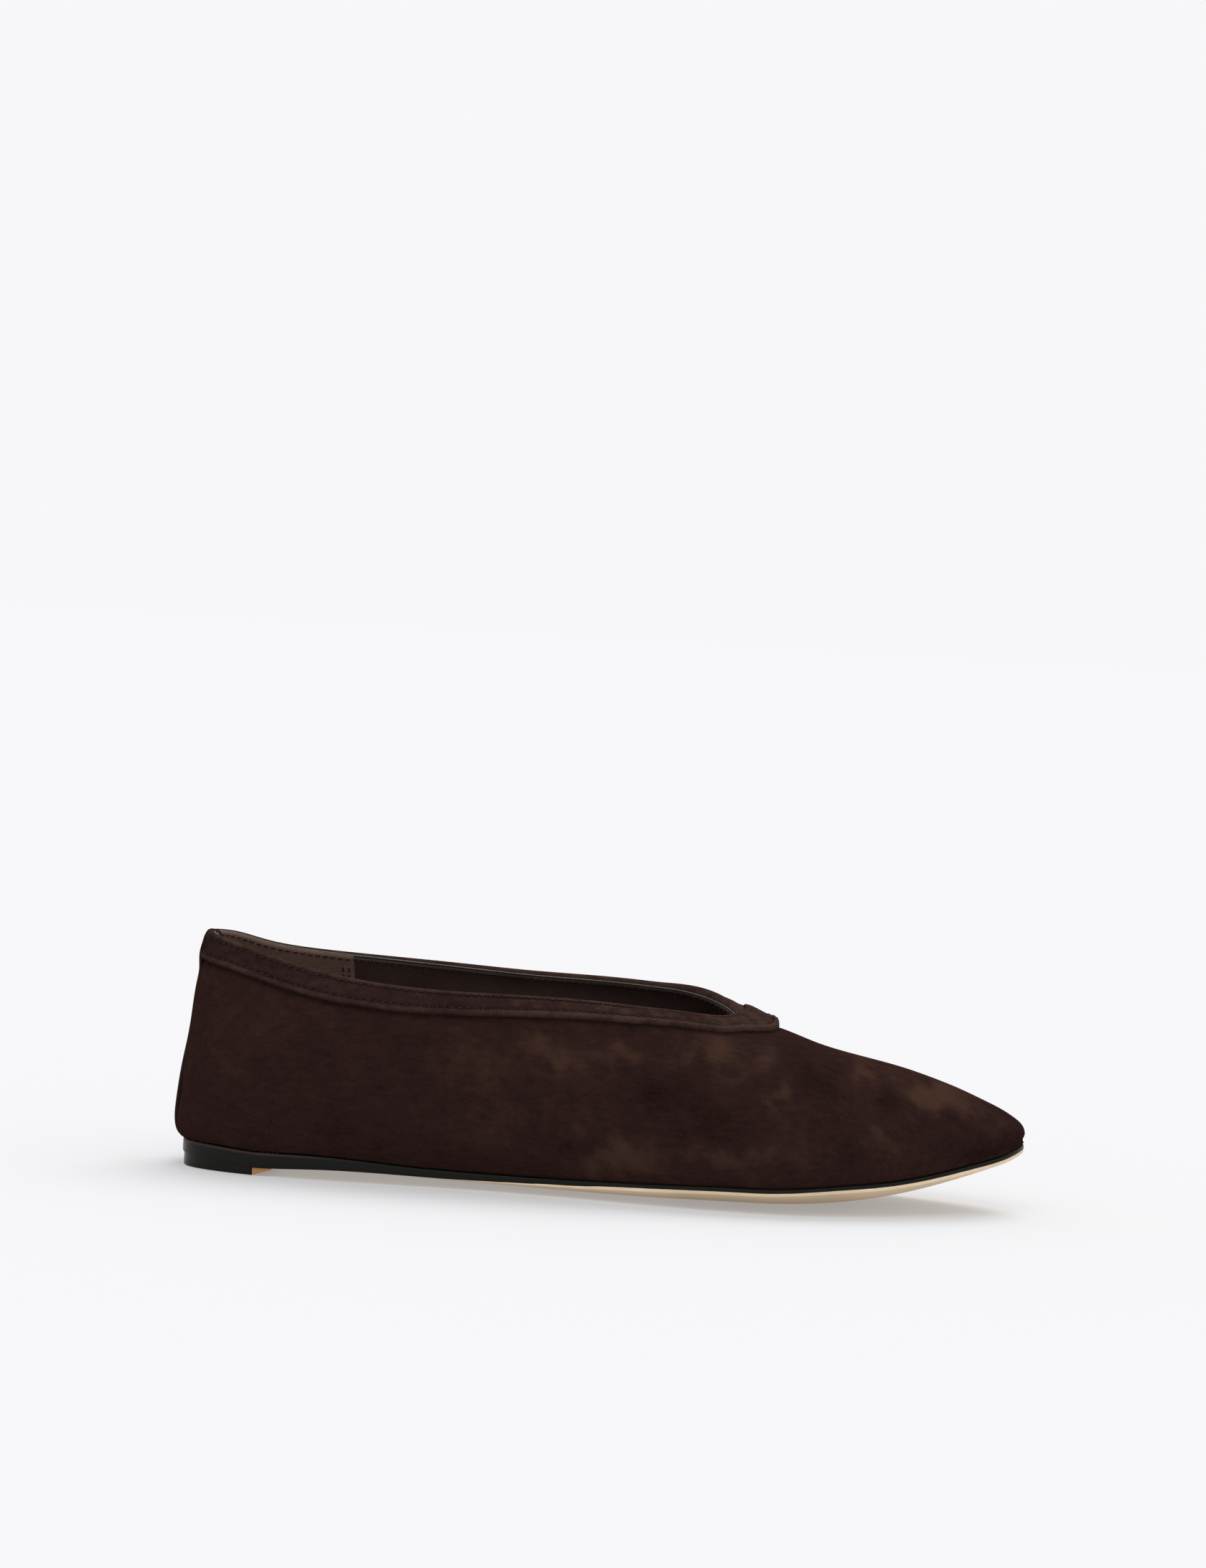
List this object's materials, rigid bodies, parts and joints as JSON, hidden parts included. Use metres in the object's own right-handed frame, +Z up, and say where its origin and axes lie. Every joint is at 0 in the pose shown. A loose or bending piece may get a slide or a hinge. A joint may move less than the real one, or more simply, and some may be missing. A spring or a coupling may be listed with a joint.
{
  "type": "ballet flat",
  "caption": "Soft suede ballet flat with a V throat, a stitched band round the opening, a thin leather sole and a low heel wedge; right shoe, standing empty.",
  "frame": {"origin": "middle of the shoe's box in X and Y, on the floor under the sole", "axes": "+X towards the toe, +Y towards the inner side of the foot, +Z up"},
  "size_m": [0.2556, 0.0836, 0.0715],
  "materials": {
    "suede": "soft mottled dark brown suede, lined",
    "band_suede": "dark brown suede band, stitched",
    "strip_suede": "dark brown suede strip",
    "sole_leather": "natural leather tread with a black waxed edge",
    "heel_leather": "black leather lift with a waxed edge and a natural skived front",
    "insole_leather": "matt brown insole leather",
    "lining": "smooth brown lining leather, suede at the heel",
    "thread": "dark brown sewing thread"
  },
  "bodies": {
    "root": {"upper": "suede", "topline_band": "band_suede", "back_strip": "strip_suede", "outsole": "sole_leather", "heel_lift": "heel_leather", "insole": "insole_leather"}
  },
  "joints": []
}
